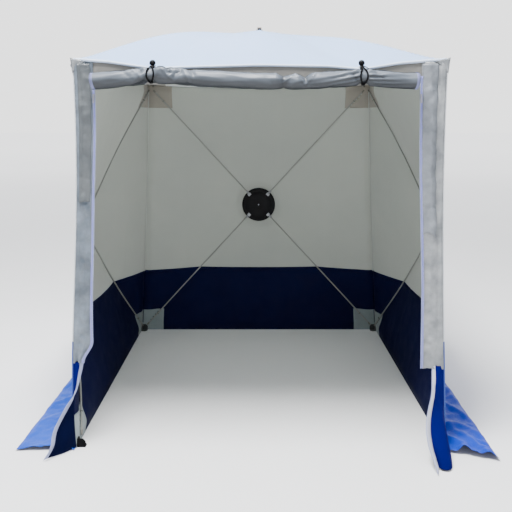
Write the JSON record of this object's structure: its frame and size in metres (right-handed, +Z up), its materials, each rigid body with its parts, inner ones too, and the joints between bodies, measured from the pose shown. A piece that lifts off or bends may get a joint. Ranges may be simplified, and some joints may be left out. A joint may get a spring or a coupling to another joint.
{
  "type": "pop-up hub shelter",
  "caption": "Pop-up shelter of hubbed fibreglass rods in white and blue fabric, open front with the door rolled up under the roof edge, and ground skirts; hubs pop in to collapse the walls.",
  "frame": {"origin": "middle of the whole model in plan, at the ground", "axes": "+X to the right seen from the open front, +Y to the back, +Z up"},
  "size_m": [2.216, 2.2026, 2.086],
  "materials": {
    "wall_fabric_blue": "coated polyester, matt outside, dark navy inside",
    "wall_fabric_white": "coated polyester, matt, slightly translucent",
    "roof_fabric": "coated polyester, satin",
    "corner_plastic": "moulded, satin",
    "strip_pvc": "wrinkled coated cloth, satin, silver white",
    "flap_blue": "coated polyester, satin",
    "door_pvc": "coated cloth, satin, rolled",
    "elastic_cord": "braided elastic cord",
    "toggle_plastic": "moulded ball",
    "skirt_film": "thin woven polyethylene, glossy and wrinkled",
    "hub_plastic": "moulded, satin",
    "rod_fibreglass": "pultruded fibreglass, grey",
    "pull_webbing": "woven webbing",
    "zip_metal": "enamelled slider",
    "zip_tab": "moulded pull tab"
  },
  "bodies": {
    "shelter": {"wall_back_lower": "wall_fabric_blue", "wall_back_upper": "wall_fabric_white", "wall_left_lower": "wall_fabric_blue", "wall_left_upper": "wall_fabric_white", "wall_right_lower": "wall_fabric_blue", "wall_right_upper": "wall_fabric_white", "roof_panel": "roof_fabric", "corner_cup_front_top_left": "corner_plastic", "corner_cup_front_top_right": "corner_plastic", "corner_cup_front_bottom_left": "corner_plastic", "corner_cup_front_bottom_right": "corner_plastic", "corner_cup_rear_top_left": "corner_plastic", "corner_cup_rear_top_right": "corner_plastic", "corner_cup_rear_bottom_left": "corner_plastic", "corner_cup_rear_bottom_right": "corner_plastic", "front_header": "roof_fabric", "front_strip_left_upper": "strip_pvc", "front_strip_left_lower": "flap_blue", "front_strip_right_upper": "strip_pvc", "front_strip_right_lower": "flap_blue", "door_roll": "door_pvc", "tie_loop_left": "elastic_cord", "tie_ball_left": "toggle_plastic", "tie_loop_right": "elastic_cord", "tie_ball_right": "toggle_plastic", "skirt_left": "skirt_film", "skirt_right": "skirt_film", "skirt_back": "skirt_film"},
    "hub_back": {"hub_back_inner": "hub_plastic", "hub_back_outer": "hub_plastic"},
    "rod_back_rear_bottom_left": {"rod_back_rear_bottom_left": "rod_fibreglass"},
    "rod_back_rear_bottom_right": {"rod_back_rear_bottom_right": "rod_fibreglass"},
    "rod_back_rear_top_right": {"rod_back_rear_top_right": "rod_fibreglass"},
    "rod_back_rear_top_left": {"rod_back_rear_top_left": "rod_fibreglass"},
    "pull_back": {"hub_back_pull": "pull_webbing"},
    "hub_left": {"hub_left_inner": "hub_plastic", "hub_left_outer": "hub_plastic"},
    "rod_left_front_bottom_left": {"rod_left_front_bottom_left": "rod_fibreglass"},
    "rod_left_rear_bottom_left": {"rod_left_rear_bottom_left": "rod_fibreglass"},
    "rod_left_rear_top_left": {"rod_left_rear_top_left": "rod_fibreglass"},
    "rod_left_front_top_left": {"rod_left_front_top_left": "rod_fibreglass"},
    "pull_left": {"hub_left_pull": "pull_webbing"},
    "hub_right": {"hub_right_inner": "hub_plastic", "hub_right_outer": "hub_plastic"},
    "rod_right_front_bottom_right": {"rod_right_front_bottom_right": "rod_fibreglass"},
    "rod_right_front_top_right": {"rod_right_front_top_right": "rod_fibreglass"},
    "rod_right_rear_top_right": {"rod_right_rear_top_right": "rod_fibreglass"},
    "rod_right_rear_bottom_right": {"rod_right_rear_bottom_right": "rod_fibreglass"},
    "pull_right": {"hub_right_pull": "pull_webbing"},
    "hub_roof": {"hub_roof_inner": "hub_plastic", "hub_roof_outer": "hub_plastic"},
    "rod_roof_front_top_left": {"rod_roof_front_top_left": "rod_fibreglass"},
    "rod_roof_rear_top_left": {"rod_roof_rear_top_left": "rod_fibreglass"},
    "rod_roof_rear_top_right": {"rod_roof_rear_top_right": "rod_fibreglass"},
    "rod_roof_front_top_right": {"rod_roof_front_top_right": "rod_fibreglass"},
    "pull_roof": {"hub_roof_pull": "pull_webbing"},
    "zip_slider_left": {"zip_slider_left": "zip_metal"},
    "zip_pull_left": {"zip_pull_left": "zip_tab"},
    "zip_slider_right": {"zip_slider_right": "zip_metal"},
    "zip_pull_right": {"zip_pull_right": "zip_tab"}
  },
  "joints": [
    {"name": "hub_back_pop", "type": "slide", "parent": "shelter", "child": "hub_back", "axis": [0, -1, 0], "range_m": [0, 0.42], "deforming": ["wall_back_upper", "wall_back_lower"]},
    {"name": "rod_back_rear_bottom_left_pivot", "type": "hinge", "parent": "hub_back", "child": "rod_back_rear_bottom_left", "pos_m": [-0.07459, 1.052, 0.82689], "axis": [0.7232, 0, -0.6906], "range_deg": [0, 21.87]},
    {"name": "rod_back_rear_bottom_right_pivot", "type": "hinge", "parent": "hub_back", "child": "rod_back_rear_bottom_right", "pos_m": [0.07459, 1.052, 0.82689], "axis": [0.7232, 0, 0.6906], "range_deg": [0, 21.87]},
    {"name": "rod_back_rear_top_right_pivot", "type": "hinge", "parent": "hub_back", "child": "rod_back_rear_top_right", "pos_m": [0.0721, 1.052, 0.98541], "axis": [-0.7446, 0, 0.6675], "range_deg": [0, 22.43]},
    {"name": "rod_back_rear_top_left_pivot", "type": "hinge", "parent": "hub_back", "child": "rod_back_rear_top_left", "pos_m": [-0.0721, 1.052, 0.98541], "axis": [-0.7446, 0, -0.6675], "range_deg": [0, 22.43]},
    {"name": "pull_back_swing", "type": "hinge", "parent": "hub_back", "child": "pull_back", "pos_m": [0, 1.097, 0.89], "axis": [1, 0, 0], "range_deg": [0, 110]},
    {"name": "hub_left_pop", "type": "slide", "parent": "shelter", "child": "hub_left", "axis": [1, 0, 0], "range_m": [0, 0.42], "deforming": ["wall_left_upper", "wall_left_lower"]},
    {"name": "rod_left_front_bottom_left_pivot", "type": "hinge", "parent": "hub_left", "child": "rod_left_front_bottom_left", "pos_m": [-1.053, -0.0763, 0.82662], "axis": [0, 0.7257, -0.688], "range_deg": [0, 21.96]},
    {"name": "rod_left_rear_bottom_left_pivot", "type": "hinge", "parent": "hub_left", "child": "rod_left_rear_bottom_left", "pos_m": [-1.053, 0.0723, 0.82662], "axis": [0, 0.7257, 0.688], "range_deg": [0, 21.98]},
    {"name": "rod_left_rear_top_left_pivot", "type": "hinge", "parent": "hub_left", "child": "rod_left_rear_top_left", "pos_m": [-1.053, 0.07208, 0.98359], "axis": [0, -0.7277, 0.6859], "range_deg": [0, 21.74]},
    {"name": "rod_left_front_top_left_pivot", "type": "hinge", "parent": "hub_left", "child": "rod_left_front_top_left", "pos_m": [-1.053, -0.07608, 0.98359], "axis": [0, -0.7277, -0.6859], "range_deg": [0, 21.94]},
    {"name": "pull_left_swing", "type": "hinge", "parent": "hub_left", "child": "pull_left", "pos_m": [-1.098, -0.002, 0.89], "axis": [0, 1, 0], "range_deg": [0, 110]},
    {"name": "hub_right_pop", "type": "slide", "parent": "shelter", "child": "hub_right", "axis": [-1, 0, 0], "range_m": [0, 0.42], "deforming": ["wall_right_upper", "wall_right_lower"]},
    {"name": "rod_right_front_bottom_right_pivot", "type": "hinge", "parent": "hub_right", "child": "rod_right_front_bottom_right", "pos_m": [1.053, -0.0763, 0.82662], "axis": [0, -0.7257, 0.688], "range_deg": [0, 21.96]},
    {"name": "rod_right_front_top_right_pivot", "type": "hinge", "parent": "hub_right", "child": "rod_right_front_top_right", "pos_m": [1.053, -0.07608, 0.98359], "axis": [0, 0.7277, 0.6859], "range_deg": [0, 21.94]},
    {"name": "rod_right_rear_top_right_pivot", "type": "hinge", "parent": "hub_right", "child": "rod_right_rear_top_right", "pos_m": [1.053, 0.07208, 0.98359], "axis": [0, 0.7277, -0.6859], "range_deg": [0, 21.74]},
    {"name": "rod_right_rear_bottom_right_pivot", "type": "hinge", "parent": "hub_right", "child": "rod_right_rear_bottom_right", "pos_m": [1.053, 0.0723, 0.82662], "axis": [0, -0.7257, -0.688], "range_deg": [0, 21.98]},
    {"name": "pull_right_swing", "type": "hinge", "parent": "hub_right", "child": "pull_right", "pos_m": [1.098, -0.002, 0.89], "axis": [0, -1, 0], "range_deg": [0, 110]},
    {"name": "hub_roof_pop", "type": "slide", "parent": "shelter", "child": "hub_roof", "axis": [0, 0, -1], "range_m": [0, 0.465], "deforming": ["roof_panel"]},
    {"name": "rod_roof_front_top_left_pivot", "type": "hinge", "parent": "hub_roof", "child": "rod_roof_front_top_left", "pos_m": [-0.07706, -0.07767, 2.036], "axis": [-0.7007, 0.7135, 0], "range_deg": [0, 24.69]},
    {"name": "rod_roof_rear_top_left_pivot", "type": "hinge", "parent": "hub_roof", "child": "rod_roof_rear_top_left", "pos_m": [-0.07444, 0.07625, 2.036], "axis": [0.7246, 0.6892, 0], "range_deg": [0, 25.59]},
    {"name": "rod_roof_rear_top_right_pivot", "type": "hinge", "parent": "hub_roof", "child": "rod_roof_rear_top_right", "pos_m": [0.07444, 0.07625, 2.036], "axis": [0.7246, -0.6892, 0], "range_deg": [0, 25.59]},
    {"name": "rod_roof_front_top_right_pivot", "type": "hinge", "parent": "hub_roof", "child": "rod_roof_front_top_right", "pos_m": [0.07706, -0.07767, 2.036], "axis": [-0.7007, -0.7135, 0], "range_deg": [0, 24.69]},
    {"name": "pull_roof_swing", "type": "hinge", "parent": "hub_roof", "child": "pull_roof", "pos_m": [0, -0.017, 2.081], "axis": [-1, 0, 0], "range_deg": [0, 150]},
    {"name": "zip_left_run", "type": "slide", "parent": "shelter", "child": "zip_slider_left", "axis": [0, 0, -1], "range_m": [0, 1.2]},
    {"name": "zip_left_tab", "type": "hinge", "parent": "zip_slider_left", "child": "zip_pull_left", "pos_m": [-0.771, -0.8796, 1.645], "axis": [-1, 0, 0], "range_deg": [0, 150]},
    {"name": "zip_right_run", "type": "slide", "parent": "shelter", "child": "zip_slider_right", "axis": [0, 0, -1], "range_m": [0, 1.2]},
    {"name": "zip_right_tab", "type": "hinge", "parent": "zip_slider_right", "child": "zip_pull_right", "pos_m": [0.771, -0.8796, 1.645], "axis": [-1, 0, 0], "range_deg": [0, 150]}
  ],
  "couplings": [
    {"joint": "rod_back_rear_bottom_left_pivot", "follows": "hub_back_pop", "rad_per_m": 0.90808},
    {"joint": "rod_back_rear_bottom_right_pivot", "follows": "hub_back_pop", "rad_per_m": 0.90808},
    {"joint": "rod_back_rear_top_right_pivot", "follows": "hub_back_pop", "rad_per_m": 0.93111},
    {"joint": "rod_back_rear_top_left_pivot", "follows": "hub_back_pop", "rad_per_m": 0.93111},
    {"joint": "rod_left_front_bottom_left_pivot", "follows": "hub_left_pop", "rad_per_m": 0.91162},
    {"joint": "rod_left_rear_bottom_left_pivot", "follows": "hub_left_pop", "rad_per_m": 0.91258},
    {"joint": "rod_left_rear_top_left_pivot", "follows": "hub_left_pop", "rad_per_m": 0.90243},
    {"joint": "rod_left_front_top_left_pivot", "follows": "hub_left_pop", "rad_per_m": 0.91102},
    {"joint": "rod_right_front_bottom_right_pivot", "follows": "hub_right_pop", "rad_per_m": 0.91162},
    {"joint": "rod_right_front_top_right_pivot", "follows": "hub_right_pop", "rad_per_m": 0.91102},
    {"joint": "rod_right_rear_top_right_pivot", "follows": "hub_right_pop", "rad_per_m": 0.90243},
    {"joint": "rod_right_rear_bottom_right_pivot", "follows": "hub_right_pop", "rad_per_m": 0.91258},
    {"joint": "rod_roof_front_top_left_pivot", "follows": "hub_roof_pop", "rad_per_m": 0.92609},
    {"joint": "rod_roof_rear_top_left_pivot", "follows": "hub_roof_pop", "rad_per_m": 0.95981},
    {"joint": "rod_roof_rear_top_right_pivot", "follows": "hub_roof_pop", "rad_per_m": 0.95981},
    {"joint": "rod_roof_front_top_right_pivot", "follows": "hub_roof_pop", "rad_per_m": 0.92609}
  ]
}
